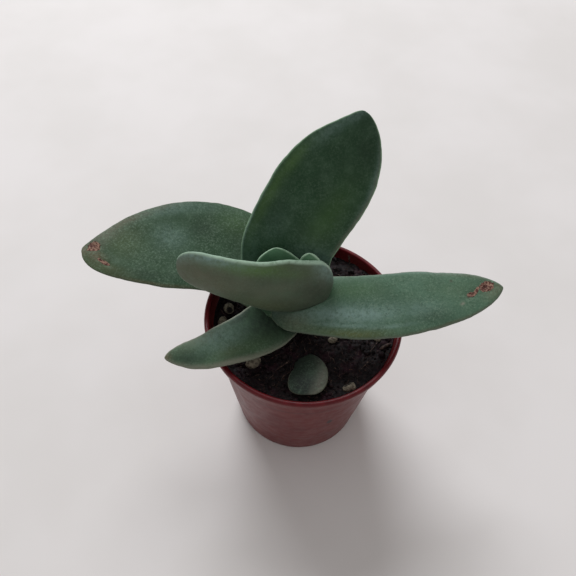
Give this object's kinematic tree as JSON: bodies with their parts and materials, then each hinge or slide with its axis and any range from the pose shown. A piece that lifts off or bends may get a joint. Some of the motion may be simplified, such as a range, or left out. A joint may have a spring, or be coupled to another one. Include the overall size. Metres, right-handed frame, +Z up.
{
  "type": "potted propeller plant",
  "caption": "Young sickle-leaved succulent with fleshy grey-green leaves in opposite pairs, growing in potting soil in a small tapered plastic nursery pot.",
  "frame": {"origin": "centre of the pot's underside, on the pot's axis", "axes": "+Z up along the pot's axis, -Y towards the front of the plant, +X to the right seen from the front"},
  "size_m": [0.1109, 0.0564, 0.0957],
  "materials": {
    "pot_plastic": "semi-matte moulded, red-brown",
    "potting_soil": "dark moist peat crumbs and fibres",
    "stem_skin": "green-brown with leaf scars",
    "leaf_skin": "fleshy, satin, finely speckled grey-green",
    "pale_grain": "rough pale mineral grain"
  },
  "bodies": {
    "root": {"pot": "pot_plastic", "soil": "potting_soil", "stem": "stem_skin", "leaf_old": "leaf_skin", "leaf_low": "leaf_skin", "leaf_left": "leaf_skin", "leaf_right": "leaf_skin", "leaf_back": "leaf_skin", "leaf_front": "leaf_skin", "leaf_inner_left": "leaf_skin", "leaf_inner_right": "leaf_skin", "grain_left": "pale_grain", "grain_front": "pale_grain", "grain_side": "pale_grain", "grain_edge": "pale_grain", "grain_right": "pale_grain", "grain_under": "pale_grain"}
  },
  "joints": []
}
